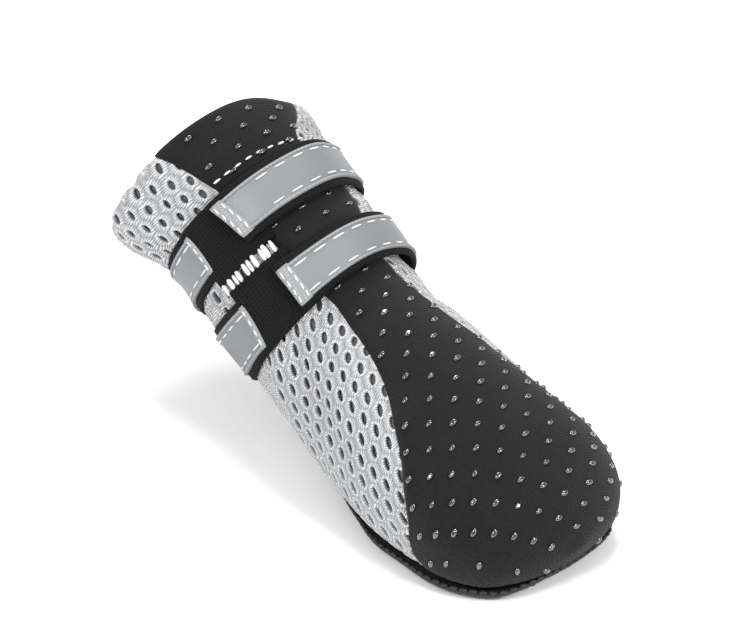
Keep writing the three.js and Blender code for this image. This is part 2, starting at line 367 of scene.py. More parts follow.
LINING_OUTSIDE, LINING_INSIDE = -1.05, -1.7  # mm from the form
lining_stations = np.r_[np.linspace(0.15, 3.0, 14)[:-1], np.linspace(3.0, COLLAR - 0.08, 70)]
lining_parts = np.arange(144) / 144.0


def bag(name, outside, inside, material):
    """A closed bag of cloth, open at the collar, from its outer skin round to its inner skin."""
    rings = [cloth(s, lining_parts, outside) for s in lining_stations]
    rings.append(cloth(COLLAR, lining_parts, (outside + inside) / 2.0))
    rings += [cloth(s, lining_parts, inside) for s in lining_stations[::-1]]
    points = np.concatenate(rings)
    faces = grid_faces(len(rings), len(lining_parts), closed=True).tolist()
    tips = [cloth(0.0, 0.25, outside), cloth(0.0, 0.25, inside)]
    first, last = len(points), len(points) + 1
    count = len(lining_parts)
    for k in range(count):
        faces.append((first, (k + 1) % count, k))
        ring = (len(rings) - 1) * count
        faces.append((last, ring + k, ring + (k + 1) % count))
    return facing_out(new_piece(name, np.concatenate([points, tips]), faces, [material]))


lining = bag("lining", LINING_OUTSIDE, LINING_INSIDE, grey_tricot())
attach(lining, "root")
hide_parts("upper")
lining_rings = np.array([cloth(s, lining_parts, LINING_OUTSIDE) for s in lining_stations])


# ==== Vamp ====
# One piece of black stretch fabric from the toe up over the instep to the collar, with rows of
# moulded rubber nubs for grip. It is sewn over the edge of the mesh, and round the sole.
# Its edge on each side: station, and angle round the boot.
VAMP_RIGHT_EDGE = np.array([
    (0.0, 270), (3.2, 270), (4.0, 244), (5.2, 236), (5.5, 217), (5.8, 196), (6.0, 179), (6.3, 166),
    (6.6, 156), (6.9, 147), (7.4, 139), (7.8, 132), (8.3, 126), (9.0, 121), (9.8, 118), (10.5, 116.5),
    (11.6, 120), (12.7, 126), (13.7, 130), (14.7, 134), (15.2, 138), (15.6, 143), (16.0, 149),
])
VAMP_LEFT_EDGE = np.array([
    (0.0, -90), (3.2, -90), (4.0, -64), (5.2, -56), (5.5, -37), (5.8, -16), (6.0, 1), (6.3, 14),
    (6.6, 24), (6.9, 33), (7.4, 46), (7.8, 56), (8.3, 62), (9.0, 65), (9.8, 66), (10.5, 68),
    (11.2, 69), (12.0, 66), (12.8, 58), (13.5, 60), (14.2, 66), (14.7, 72), (15.1, 67), (15.6, 58),
    (16.0, 50),
])
VAMP_OUTSIDE, VAMP_INSIDE = 0.4, -0.6  # mm from the limp cloth
VAMP_RIM, VAMP_ROLL, PUCKER_HEIGHT = -0.1, 1.6, 0.16  # mm: its edge, where it rolls off, puckers
VAMP_TOE_END = 3.2  # station up to which it goes all round, under the toe


def part_at(station, angle):
    """Part of the girth at an angle, the other way round from angle_at."""
    station, angle = np.broadcast_arrays(np.asarray(station, float), np.asarray(angle, float))
    low, high = np.full(station.shape, -1.0), np.full(station.shape, 2.0)
    for _ in range(26):
        middle = (low + high) / 2.0
        past = angle_at(station, middle) > angle
        low, high = np.where(past, low, middle), np.where(past, middle, high)
    return (low + high) / 2.0


edge_stations = np.linspace(0.0, COLLAR, 641)
edge_blur = np.exp(-0.5 * (np.arange(-12, 13) / 5.0) ** 2)


def edge_parts(edge):
    """A vamp edge as parts of the girth at each of edge_stations, with its corners eased."""
    angles = np.interp(edge_stations, edge[:, 0], edge[:, 1])
    eased = np.convolve(np.pad(angles, 12, mode="edge"), edge_blur / edge_blur.sum(), "valid")
    return part_at(edge_stations, eased)


right_edge, left_edge = edge_parts(VAMP_RIGHT_EDGE), edge_parts(VAMP_LEFT_EDGE)
girth_at = lambda station: np.interp(station, station_grid, girth_grid)


def inside_vamp(station, part):
    """How far in mm a place lies inside the vamp's edge, negative where it is on the mesh."""
    part = part - np.round(part)
    right = np.interp(station, edge_stations, right_edge) - part
    left = part - np.interp(station, edge_stations, left_edge)
    return np.minimum(right, left) * girth_at(station)


def slab(name, outer, inner, materials, uv=None, shut=0):
    """A closed sheet of cloth between two grids of points, with a rounded edge. For the first
    `shut` rows the sheet closes on itself, and its first and last columns meet."""
    rows, columns = outer.shape[:2]
    count = rows * columns
    faces = grid_faces(rows, columns).tolist()
    faces += grid_faces(rows, columns, start=count)[:, ::-1].tolist()
    rim = [(r, 0) for r in range(shut, rows)]
    rim += [(rows - 1, c) for c in range(1, columns)]
    rim += [(r, columns - 1) for r in range(rows - 2, shut - 1, -1)]
    if not shut:
        rim += [(0, c) for c in range(columns - 2, 0, -1)]
    rim = np.array(rim)
    inward = np.clip(rim, [1, 1], [rows - 2, columns - 2])
    middle = (outer + inner) / 2.0
    edge = middle[rim[:, 0], rim[:, 1]]
    push = unit(edge - middle[inward[:, 0], inward[:, 1]])
    thick = np.linalg.norm(outer - inner, axis=-1)[rim[:, 0], rim[:, 1]]
    edge = edge + push * thick[:, None] * 0.35
    index = rim[:, 0] * columns + rim[:, 1]
    for k in range(len(rim)):
        n = (k + 1) % len(rim)
        faces.append((index[n], index[k], 2 * count + k, 2 * count + n))
        faces.append((2 * count + n, 2 * count + k, count + index[k], count + index[n]))
    points = np.concatenate([outer.reshape(-1, 3), inner.reshape(-1, 3), edge])
    if uv is not None:
        flat = uv.reshape(-1, 2)
        uv = np.concatenate([flat, flat, flat[index]])
    return facing_out(new_piece(name, points, faces, materials, uv=uv))


def black_stretch_fabric():
    """Coated stretch polyester: matt charcoal black, a fine weave, a little lint and pale wear."""
    material, tree, shader = new_material("black_stretch_fabric")
    threads = 0.55  # mm apart, wider than real ones, so that they show
    flat_cloth = add(tree, "ShaderNodeTexCoord").outputs["UV"]
    weave = [add(tree, "ShaderNodeTexWave", {
        "Vector": flat_cloth, "Scale": WAVE / threads, "Distortion": 0.8, "Detail Scale": 2.0},
        bands_direction=way).outputs["Fac"] for way in ("X", "Y")]
    cloth_weave = add(tree, "ShaderNodeMath", {0: weave[0], 1: weave[1]}, operation="MULTIPLY").outputs[0]
    place = add(tree, "ShaderNodeTexCoord").outputs["Object"]
    lint = add(tree, "ShaderNodeTexNoise", {"Vector": place, "Scale": 1500.0, "Detail": 3.0}).outputs["Fac"]
    cloud = add(tree, "ShaderNodeTexNoise", {"Vector": place, "Scale": 90.0, "Detail": 4.0}).outputs["Fac"]
    base = add(tree, "ShaderNodeMix", {
        "Factor": cloth_weave, "A": linear("#0a0a0b"), "B": linear("#19191b")}, data_type="RGBA")
    dusty = add(tree, "ShaderNodeMapRange", {
        "Value": cloud, "From Min": 0.45, "From Max": 0.75, "To Max": 0.35}).outputs["Result"]
    worn = add(tree, "ShaderNodeMix", {
        "Factor": dusty, "A": base.outputs["Result"], "B": linear("#1f1f22")}, data_type="RGBA")
    height = add(tree, "ShaderNodeMath", {0: lint, 1: cloth_weave}, operation="ADD").outputs[0]
    bump = add(tree, "ShaderNodeBump", {"Height": height, "Strength": 0.5, "Distance": 0.00025})
    rough = add(tree, "ShaderNodeMapRange", {"Value": lint, "To Min": 0.72, "To Max": 0.95}).outputs["Result"]
    fill(tree, shader, {
        "Base Color": worn.outputs["Result"], "Normal": bump.outputs["Normal"], "Roughness": rough,
        "Specular IOR Level": 0.25, "Sheen Weight": 0.08, "Sheen Roughness": 0.5})
    return material


# Rows are an even distance apart down the front, and closer together at the toe.
front_run = run_along(bare_form(edge_stations, 90.0))
front_rows = np.r_[np.linspace(0.0, 6.0, 10)[:-1], np.linspace(6.0, front_run[-1], 120)]
vamp_stations = np.interp(front_rows, front_run, edge_stations)
VAMP_COLUMNS = 91
across = np.linspace(0.0, 1.0, VAMP_COLUMNS)[None, :]
vamp_s = np.repeat(vamp_stations[:, None], VAMP_COLUMNS, axis=1)
right = np.interp(vamp_stations, edge_stations, right_edge)[:, None]
left = np.interp(vamp_stations, edge_stations, left_edge)[:, None]
vamp_p = left + (right - left) * across
closed_rows = int(np.sum(vamp_stations < VAMP_TOE_END))


def vamp_height(station, part):
    """The vamp's outer face, mm from the limp cloth: it rolls off at its sewn edge, and is
    gathered in small puckers round the toe, just above the sole."""
    roll = smooth(0.0, VAMP_ROLL, inside_vamp(station, part))
    angle = np.abs(angle_at(station, part) - 90.0)
    girth_mm = part * girth_at(station)
    pucker = np.sin(girth_mm * 2.0 + station * 5.0) * smooth(80.0, 112.0, angle)
    pucker = pucker * (1.0 - smooth(3.6, 6.5, station)) * smooth(0.8, 2.2, station)
    collar_roll = 1.0 - smooth(COLLAR - 0.22, COLLAR, station)
    face = VAMP_RIM + (VAMP_OUTSIDE - VAMP_RIM) * roll * (0.5 + 0.5 * collar_roll)
    return face + PUCKER_HEIGHT * pucker


vamp_out = vamp_height(vamp_s, vamp_p)
vamp_out[:closed_rows + 1] = VAMP_OUTSIDE
vamp_uv = np.stack([vamp_p * girth_at(vamp_s), np.interp(vamp_s, edge_stations, front_run)], -1)
vamp_faces = [cloth(vamp_s, vamp_p, vamp_out), cloth(vamp_s, vamp_p, VAMP_INSIDE)]
for face in vamp_faces:
    face[0] = face[0].mean(axis=0)  # closed at the tip of the toe
vamp = slab("vamp", *vamp_faces, [black_stretch_fabric()], vamp_uv, closed_rows)
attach(vamp, "root")
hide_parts("upper")


# ---- Nubs ----
# Rubber dots printed on the vamp in staggered rows, each a low dome with a dimple.
NUB_SPACING, NUB_ROWS = 7.0, 3.45  # mm, between nubs in a row, and between rows
NUB_LENGTH, NUB_WIDTH, NUB_HEIGHT = 2.2, 1.35, 0.75
NUB_TOP_GAP, NUB_EDGE_GAP, NUB_LEAST_GAP = 2.0, 1.1, 3.6  # from the collar, the edge and each other
NUB_LOWEST = 5.0  # height over the floor of the lowest
JITTER_SEED = 5


def put_on_points_tree():
    """Puts a shape on every point, turned to the point's facing and heading and scaled by its
    size, and joins what touches."""
    tree = bpy.data.node_groups.new("put_on_points", "GeometryNodeTree")
    inputs = {"Points": "Geometry", "Shape": "Object", "Merge Distance": "Float", "Size Jitter": "Float",
              "Seed": "Int", "Material": "Material"}
    for label, kind in inputs.items():
        tree.interface.new_socket(label, in_out="INPUT", socket_type="NodeSocket" + kind)
    tree.interface.new_socket("Mesh", in_out="OUTPUT", socket_type="NodeSocketGeometry")
    given = add(tree, "NodeGroupInput").outputs
    facing, heading, size = (add(
        tree, "GeometryNodeInputNamedAttribute", {"Name": name}, data_type="FLOAT_VECTOR"
    ).outputs["Attribute"] for name in ("facing", "heading", "size"))
    stand = add(tree, "FunctionNodeAlignRotationToVector", {"Vector": facing}, axis="Z")
    turned = add(tree, "FunctionNodeAlignRotationToVector", {
        "Rotation": stand.outputs["Rotation"], "Vector": heading}, axis="X", pivot_axis="Z")
    jitter = add(tree, "ShaderNodeMath", {0: 1.0, 1: given["Size Jitter"]}, operation="SUBTRACT").outputs[0]
    change = add(tree, "FunctionNodeRandomValue", {
        "Min": jitter, "Max": 1.0, "Seed": given["Seed"]}, data_type="FLOAT")
    scale = add(tree, "ShaderNodeVectorMath", {0: size}, operation="SCALE")
    value = next(s for s in change.outputs if s.enabled)
    tree.links.new(value, scale.inputs["Scale"])
    shape = add(tree, "GeometryNodeObjectInfo", {"Object": given["Shape"]})
    copies = add(tree, "GeometryNodeInstanceOnPoints", {
        "Points": given["Points"], "Instance": shape.outputs["Geometry"],
        "Rotation": turned.outputs["Rotation"], "Scale": scale.outputs["Vector"]})
    real = add(tree, "GeometryNodeRealizeInstances", {"Geometry": copies.outputs["Instances"]})
    joined = add(tree, "GeometryNodeMergeByDistance", {
        "Geometry": real.outputs["Geometry"], "Distance": given["Merge Distance"]})
    done = add(tree, "GeometryNodeSetMaterial", {
        "Geometry": joined.outputs["Geometry"], "Material": given["Material"]})
    add(tree, "NodeGroupOutput", {"Mesh": done.outputs["Geometry"]})
    return tree


on_points = put_on_points_tree()


def put_on_points(name, shape, points, facing, heading, size, material, merge=0.0, jitter=0.0, extra=None):
    """Runs the tree on a list of points, and returns one plain mesh object."""
    carrier = new_piece(name + "_points", points, [])
    fields = {"facing": facing, "heading": heading, "size": size, **(extra or {})}
    for label, value in fields.items():
        attribute = carrier.data.attributes.new(label, "FLOAT_VECTOR", "POINT")
        attribute.data.foreach_set("vector", np.broadcast_to(value, (len(points), 3)).astype("f").ravel())
    change = carrier.modifiers.new("put_on_points", "NODES")
    change.node_group = on_points
    wanted = {"Shape": shape, "Merge Distance": merge, "Size Jitter": jitter, "Seed": JITTER_SEED,
              "Material": material}
    for item in on_points.interface.items_tree:
        if item.name in wanted and item.in_out == "INPUT":
            change[item.identifier] = wanted[item.name]
    bpy.context.view_layer.update()
    seen = carrier.evaluated_get(bpy.context.evaluated_depsgraph_get())
    mesh = bpy.data.meshes.new_from_object(seen)
    mesh.polygons.foreach_set("use_smooth", [True] * len(mesh.polygons))
    piece = bpy.data.objects.new(name, mesh)
    bpy.context.scene.collection.objects.link(piece)
    bpy.data.objects.remove(carrier)
    bpy.data.objects.remove(shape)
    mesh.name = name
    return piece


def turned_shape(name, profile, segments):
    """A closed solid turned round Z from its bottom point, through rings, to its top point."""
    turn = np.arange(segments) / segments * math.tau
    points = [(0.0, 0.0, profile[0][1])]
    for radius, height in profile[1:-1]:
        points += [(radius * math.cos(t), radius * math.sin(t), height) for t in turn]
    points.append((0.0, 0.0, profile[-1][1]))
    rings = len(profile) - 2
    faces = (grid_faces(rings, segments, closed=True, start=1)).tolist()
    last = len(points) - 1
    for k in range(segments):
        n = (k + 1) % segments
        faces.append((0, 1 + n, 1 + k))
        faces.append((last, last - segments + k, last - segments + n))
    return facing_out(new_piece(name, np.array(points), faces))


def mottled(tree, place, scale, detail, dark, light):
    """Fine noise over a piece, and a shade that goes from dark to light with it."""
    noise = add(tree, "ShaderNodeTexNoise", {
        "Vector": place, "Scale": scale, "Detail": detail}).outputs["Fac"]
    shade = add(tree, "ShaderNodeMix", {
        "Factor": noise, "A": linear(dark), "B": linear(light)}, data_type="RGBA")
    return noise, shade.outputs["Result"]


def moulded_rubber():
    """Printed rubber dots: near black, glossy on their tops, so that each one catches light."""
    material, tree, shader = new_material("printed_rubber")
    place = add(tree, "ShaderNodeTexCoord").outputs["Object"]
    wear, shade = mottled(tree, place, 500.0, 2.0, "#080809", "#161617")
    gloss = add(tree, "ShaderNodeMapRange", {"Value": wear, "To Min": 0.16, "To Max": 0.28}).outputs["Result"]
    fill(tree, shader, {
        "Base Color": shade, "Roughness": gloss, "IOR": 1.9, "Coat Weight": 1.0,
        "Coat Roughness": 0.16, "Coat IOR": 1.7})
    return material


def facing_at(station, part):
    """Outward direction of the cloth, and the direction round the boot."""
    ahead = cloth(np.minimum(station + 0.05, COLLAR), part) - cloth(np.maximum(station - 0.05, 0), part)
    aside = cloth(station, part + 0.004) - cloth(station, part - 0.004)
    return unit(np.cross(ahead, aside)), unit(aside)


places = []
for row in range(int(front_run[-1] / NUB_ROWS)):
    run = front_run[-1] - NUB_TOP_GAP - row * NUB_ROWS
    row_station = np.interp(run, front_run, edge_stations)
    row_girth = girth_at(row_station)
    for column in range(-12, 13):
        part = (column + (row % 2) / 2.0) * NUB_SPACING / row_girth
        if abs(part) < 0.5 and inside_vamp(row_station, part) > NUB_EDGE_GAP:
            places.append((row_station, part))
places = np.array(places)
spots = cloth(places[:, 0], places[:, 1])
order = np.argsort(np.abs(places[:, 1]) - places[:, 0] * 0.01, kind="stable")
kept = []
for k in order:
    clear = spots[k, 2] > NUB_LOWEST * MM
    if clear and all(np.linalg.norm(spots[k] - spots[j]) > NUB_LEAST_GAP * MM for j in kept):
        kept.append(k)
places = places[kept]
nub_spots = cloth(places[:, 0], places[:, 1], vamp_height(places[:, 0], places[:, 1]) - 0.1)
nub_facing, nub_heading = facing_at(places[:, 0], places[:, 1])
nub_profile = [(0, -0.15), (0.5, -0.1), (0.46, 0.4), (0.34, 0.82), (0.17, 1.0), (0, 0.8)]
nub_shape = turned_shape("nub", nub_profile, 10)
nubs = put_on_points("nubs", nub_shape, nub_spots, nub_facing, nub_heading,
                     (NUB_LENGTH * MM, NUB_WIDTH * MM, NUB_HEIGHT * MM), moulded_rubber(), jitter=0.2)
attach(nubs, "root")


# ==== Air mesh ====
# A warp-knitted spacer mesh with long holes, from the vamp's right edge round the heel and the
# back of the leg to its left edge. It is sewn in under the vamp's edge and round the sole.
HOLE_SPACING, ROW_SPACING = 4.15, 3.35  # mm, along a row of holes, and between rows
HOLE_LENGTH, HOLE_WIDTH = 2.75, 1.3
MESH_TOP, MESH_UNDER = 0.1, -1.12  # mm from the limp cloth, at its valleys, and underneath
HOLE_TOP_GAP, HOLE_TOE_GAP, HOLE_TUCK = 2.5, 10.0, 2.6  # from the collar and the toe, and under the vamp
HOLE_SLANT = 30.0  # degrees between the long holes and the sole line on the foot

SOLE_HALF_WIDTHS = np.array([  # y from the toe tip, and half the sole's width there, in mm
    (2.2, 0), (2.5, 5.5), (3.3, 10), (5.8, 15), (12.2, 20.3), (18.4, 22.5), (26.5, 23), (34, 22.7),
    (41, 20.2), (47, 17.6), (54, 13.2), (58.5, 9.8), (60.2, 6.8), (61, 0),
])
SOLE_FRONT, SOLE_BACK = SOLE_HALF_WIDTHS[[0, -1], 0]


def inside_sole(points):
    """How far in mm points, in metres, lie inside the sole's outline, about."""
    y = points[..., 1] / MM - toe_y / MM
    half = np.interp(y, SOLE_HALF_WIDTHS[:, 0], SOLE_HALF_WIDTHS[:, 1], left=-9.0, right=-9.0)
    return np.minimum(np.minimum(half - np.abs(points[..., 0] / MM), y - SOLE_FRONT), SOLE_BACK - y)


def hole_tile():
    """One hole of the mesh in the flat, in mm: a hexagon with a hole, a raised rim round the
    hole, and an underside. rim is 1 on the raised rim and less down the hole, on the underside
    and in the valley at the hexagon's edge, where the yarn is drawn greyer as painted shade; hold
    is how far a point turns with its hole."""
    h, w = HOLE_SPACING, ROW_SPACING
    near, far = (w * w - h * h / 4.0) / (2.0 * w), (w * w + h * h / 4.0) / (2.0 * w)
    corners = np.array([(far, 0), (near, h / 2), (-near, h / 2), (-far, 0), (-near, -h / 2), (near, -h / 2)])
    edge = []
    for k in range(6):
        edge += [corners[k], (corners[k] + corners[(k + 1) % 6]) / 2.0]
    edge = np.array(edge)
    turn = np.arctan2(edge[:, 1], edge[:, 0])
    oval = lambda grow: np.stack([
        (HOLE_WIDTH / 2 + grow) * np.cos(turn), (HOLE_LENGTH / 2 + grow) * np.sin(turn)], -1)
    rings = [(edge, MESH_TOP), (oval(0.45), MESH_TOP + 0.12), (oval(0.26), MESH_TOP + 0.2),
             (oval(0.08), MESH_TOP + 0.05), (oval(-0.05), MESH_TOP - 0.4), (oval(0.0), MESH_UNDER),
             (edge, MESH_UNDER)]
    points = np.concatenate([np.c_[flat, np.full(len(edge), z)] for flat, z in rings])
    shape = new_piece("hole", points, grid_faces(len(rings), len(edge), closed=True)[:, ::-1])
    # rim by ring, from the valley over the rim and down the hole wall to the underside: its low values give
    # painted shade
    for label, by_ring in (("rim", [0.55, 0.95, 1.0, 0.85, 0.35, 0.2, 0.0]),
                           ("hold", [0.0, 0.75, 1.0, 1.0, 1.0, 1.0, 0.0])):
        attribute = shape.data.attributes.new(label, "FLOAT", "POINT")
        attribute.data.foreach_set("value", np.repeat(by_ring, len(edge)).astype("f"))
    return shape


def knitted_mesh_yarn():
    """Textured polyester yarn: off-white, dull and soft, with painted shade that turns it grey
    down in the holes and in the valleys between them.
    """
    material, tree, shader = new_material("knitted_polyester_mesh")
    rim = add(tree, "ShaderNodeAttribute", attribute_name="rim").outputs["Fac"]
    wales = add(tree, "ShaderNodeTexWave", {
        "Vector": add(tree, "ShaderNodeTexCoord").outputs["UV"], "Scale": WAVE / 0.5, "Distortion": 4.0,
        "Detail": 2.0, "Detail Scale": 1.5}, bands_direction="Y").outputs["Fac"]
    place = add(tree, "ShaderNodeTexCoord").outputs["Object"]
    fuzz = add(tree, "ShaderNodeTexNoise", {"Vector": place, "Scale": 1500.0, "Detail": 3.0}).outputs["Fac"]
    tone = add(tree, "ShaderNodeTexNoise", {"Vector": place, "Scale": 350.0, "Detail": 3.0}).outputs["Fac"]
    yarn = add(tree, "ShaderNodeMath", {0: wales, 1: tone}, operation="MULTIPLY").outputs[0]
    knit = add(tree, "ShaderNodeMix", {
        "Factor": add(tree, "ShaderNodeMapRange", {"Value": yarn, "From Max": 0.55}).outputs["Result"],
        "A": linear("#a6a8ab"), "B": linear("#efeff0")}, data_type="RGBA")
    # Painted shade: where rim is low, down in the holes and in the valleys, the knit is mixed to grey #6d7073
    painted_shade_mix = add(tree, "ShaderNodeMapRange", {
        "Value": rim, "From Min": 0.3, "From Max": 0.95}).outputs["Result"]
    shade = add(tree, "ShaderNodeMix", {
        "Factor": painted_shade_mix, "A": linear("#6d7073"), "B": knit.outputs["Result"]}, data_type="RGBA")
    height = add(tree, "ShaderNodeMath", {0: yarn, 1: fuzz}, operation="ADD").outputs[0]
    bump = add(tree, "ShaderNodeBump", {"Height": height, "Strength": 0.9, "Distance": 0.0004})
    fill(tree, shader, {
        "Base Color": shade.outputs["Result"], "Normal": bump.outputs["Normal"], "Roughness": 0.9,
        "Specular IOR Level": 0.25, "Sheen Weight": 0.15})
    return material


side_run = run_along(cloth(edge_stations, 0.3) / MM)
MESH_ROWS = 38  # rows of holes all round the leg
mesh_girth = MESH_ROWS * ROW_SPACING
centres = []
for row in range(MESH_ROWS):
    for hole in range(-(row % 2), int(side_run[-1] / HOLE_SPACING) + 1):
        along = side_run[-1] - HOLE_TOP_GAP - (hole + (row % 2) / 2.0) * HOLE_SPACING
        if along < HOLE_TOE_GAP:
            continue
        station, part = np.interp(along, side_run, edge_stations), (row + 0.5) / MESH_ROWS
        low_spot = cloth(station, part)
        under_sole = low_spot[2] < 0.0035 and inside_sole(low_spot) > 4.0
        if inside_vamp(station, part) < HOLE_TUCK and not under_sole:
            centres.append((part * mesh_girth, along, 0.0))
centres = np.array(centres)
air_mesh = put_on_points("air_mesh", hole_tile(), centres, (0, 0, 1), (1, 0, 0), (1, 1, 1),
                         knitted_mesh_yarn(), merge=0.02, extra={"centre": centres})
mesh_work = bmesh.new()
mesh_work.from_mesh(air_mesh.data)
upper_side = {}
lower_side = {}
for vert in mesh_work.verts:
    if vert.is_boundary:
        side = upper_side if vert.co.z > -0.5 else lower_side
        side[(round(vert.co.x, 1), round(vert.co.y, 1))] = vert
for edge in [e for e in mesh_work.edges if e.is_boundary and e.verts[0].co.z > -0.5]:
    keys = [(round(v.co.x, 1), round(v.co.y, 1)) for v in edge.verts]
    if all(key in lower_side for key in keys):
        quad = (edge.verts[0], edge.verts[1], lower_side[keys[1]], lower_side[keys[0]])
        if mesh_work.faces.get(quad) is None:
            mesh_work.faces.new(quad)
bmesh.ops.recalc_face_normals(mesh_work, faces=mesh_work.faces)
mesh_work.to_mesh(air_mesh.data)
mesh_work.free()

# The flat mesh is slanted on the foot, pressed down under the vamp's edge, and wrapped on.
def values_of(items, field, width):
    """One field of a mesh's vertices or corners, a row for each."""
    values = np.empty(len(items) * width)
    items.foreach_get(field, values)
    return values.reshape(-1, width)


flat = values_of(air_mesh.data.vertices, "co", 3)
centre = values_of(air_mesh.data.attributes["centre"].data, "vector", 3)
hold = values_of(air_mesh.data.attributes["hold"].data, "value", 1)[:, 0]
station = np.interp(centre[:, 1], side_run, edge_stations)
side = np.clip((centre[:, 0] / mesh_girth - 0.5) * 6.0, -1.0, 1.0)
slant = np.radians(HOLE_SLANT) * side * (1.0 - smooth(10.5, 13.0, station)) * hold
rounder = 1.0 - 0.18 * hold * smooth(13.5, 15.0, station)
dx, dy = flat[:, 0] - centre[:, 0], (flat[:, 1] - centre[:, 1]) * rounder
flat_x = centre[:, 0] + dx * np.cos(slant) + dy * np.sin(slant)
flat_y = centre[:, 1] - dx * np.sin(slant) + dy * np.cos(slant)
mesh_end = side_run[-1]
filler = (centre[:, 1] > mesh_end - 1.2) & (hold > 0.5)  # where a hole would cut the hem, there is none
flat_x = np.where(filler, centre[:, 0] + (flat_x - centre[:, 0]) * 0.5, flat_x)
flat_y = np.where(filler, centre[:, 1] + (flat_y - centre[:, 1]) * 0.1, flat_y)
height = np.where(filler, MESH_TOP - 0.02 * (flat[:, 2] < 0.0), flat[:, 2])
flat_y = np.minimum(flat_y, mesh_end)
mesh_s = np.interp(flat_y, side_run, edge_stations)
mesh_p = flat_x / mesh_girth
tucked = smooth(-0.9, 0.9, inside_vamp(mesh_s, mesh_p))
rolled = smooth(mesh_end - 1.0, mesh_end, flat_y)
mesh_out = height * (1.0 - tucked) + (-0.95 + 0.1 * height) * tucked
mesh_out = mesh_out * (1.0 - rolled) + (-0.6 + 0.4 * height) * rolled
wrapped = cloth(mesh_s, mesh_p, mesh_out)
air_mesh.data.vertices.foreach_set("co", wrapped.ravel())
lay_uv(air_mesh.data, flat[:, :2])
air_mesh.data.polygons.foreach_set("use_smooth", [True] * len(air_mesh.data.polygons))
air_mesh.data.update()
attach(air_mesh, "root")
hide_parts("upper")
mesh_size = np.ptp(values_of(air_mesh.data.uv_layers[0].data, "uv", 2), axis=0) * MM


# ==== Sole ====
# A thin cupped pad of rubber-coated canvas under the paw, with staggered rows of moulded
# studs for grip. Its edge is turned and overstitched on to the upper in small scallops.
SOLE_UNDER, SOLE_TOP = 0.5, 1.7  # mm over the floor where it lies flat; the studs reach down to 0
SOLE_TOE_LIFT, SOLE_TOE_REACH = 2.6, 8.0
SOLE_FLAT_START, SOLE_FLAT_END = 44.0, 55.0  # between them, going back, the cupping fades out
SOLE_RIM_LIFT, SOLE_RIM_WIDTH = 1.3, 3.5
SOLE_TOE_GROWTH = 1.3  # how far its edge is pulled out round the toe
STUD_SPACING, STUD_WIDTH = 3.9, 2.1  # mm, in a row; the next row lies half a step on
SCALLOP_PITCH = 1.9

profile = np.array([(h, y) for y, h in SOLE_HALF_WIDTHS])
outline = np.concatenate([profile, (profile * [-1, 1])[-2:0:-1]])


def closed_curve(corners, count):
    """Points an even distance apart on a closed, centripetal Catmull-Rom curve."""
    fine = []
    total = len(corners)
    for k in range(total):
        a, b, c, d = (corners[(k + j) % total] for j in (-1, 0, 1, 2))
        ab, bc, cd = (max(np.linalg.norm(q - p) ** 0.5, 1e-6) for p, q in ((a, b), (b, c), (c, d)))
        t = np.linspace(0.0, 1.0, 24, endpoint=False)[:, None]
        slope_b = bc * ((b - a) / ab - (c - a) / (ab + bc) + (c - b) / bc)
        slope_c = bc * ((c - b) / bc - (d - b) / (bc + cd) + (d - c) / cd)
        fine.append(b + t * (slope_b + t * (3 * (c - b) - 2 * slope_b - slope_c
                                            + t * (slope_b + slope_c - 2 * (c - b)))))
    fine = np.concatenate(fine)
    around = np.concatenate([fine, fine[:1]])
    run = run_along(around)
    even = np.arange(count) / count * run[-1]
    return np.stack([np.interp(even, run, around[:, k]) for k in (0, 1)], -1), run[-1]


SOLE_STEPS = 240
sole_outline, sole_length = closed_curve(outline, SOLE_STEPS)
ahead = np.roll(sole_outline, -1, axis=0) - np.roll(sole_outline, 1, axis=0)
sole_outward = np.stack([ahead[:, 1], -ahead[:, 0]], -1) / np.linalg.norm(ahead, axis=1, keepdims=True)


def sole_lift(y, inside):
    """Height over the floor of the sole's cupped underside, y and inside its rim in mm."""
    toe = SOLE_TOE_LIFT * np.clip(1.0 - (y - SOLE_FRONT) / SOLE_TOE_REACH, 0, 1) ** 2
    cupped = SOLE_RIM_LIFT * (1.0 - smooth(SOLE_FLAT_START, SOLE_FLAT_END, y))
    rim = cupped * np.clip(1.0 - inside / SOLE_RIM_WIDTH, 0, 1) ** 2
    return np.maximum(toe, rim)


def sole_ring(inset, height):
    """The sole's outline moved in, at a height in mm over its cupped underside."""
    reach = SOLE_TOE_GROWTH * (1.0 - smooth(8.0, 30.0, sole_outline[:, 1:]))
    flat = sole_outline - sole_outward * (inset - reach)
    z = sole_lift(flat[:, 1], inset) + height
    return np.c_[flat[:, 0], flat[:, 1] + toe_y / MM, z] * MM


def pad(name, rings, material):
    """A closed flat piece from rings, from the middle of its underside to the middle of its top."""
    count = rings[0].shape[0]
    points = np.concatenate(rings)
    faces = grid_faces(len(rings), count, closed=True).tolist()
    half = count // 2
    for start in (0, (len(rings) - 1) * count):
        for k in range(half - 1):
            faces.append((start + k, start + k + 1, start + count - k - 2, start + count - 1 - k))
    return facing_out(new_piece(name, points, faces, [material]))


def coated_canvas():
    """Rubber-coated canvas: near black and dull, the canvas just showing through the coating."""
    material, tree, shader = new_material("rubber_coated_canvas")
    place = add(tree, "ShaderNodeTexCoord").outputs["Object"]
    threads = [add(tree, "ShaderNodeTexWave", {
        "Vector": place, "Scale": WAVE / (0.7 * MM), "Distortion": 0.8}, bands_direction=way).outputs["Fac"]
        for way in ("X", "Y")]
    weave = add(tree, "ShaderNodeMath", {0: threads[0], 1: threads[1]}, operation="MULTIPLY").outputs[0]
    scuff, shade = mottled(tree, place, 160.0, 5.0, "#151516", "#2c2c2e")
    rough = add(tree, "ShaderNodeMapRange", {"Value": scuff, "To Min": 0.5, "To Max": 0.8}).outputs["Result"]
    bump = add(tree, "ShaderNodeBump", {"Height": weave, "Strength": 0.5, "Distance": 0.0002})
    fill(tree, shader, {
        "Base Color": shade, "Roughness": rough, "Normal": bump.outputs["Normal"],
        "IOR": 1.52})
    return material


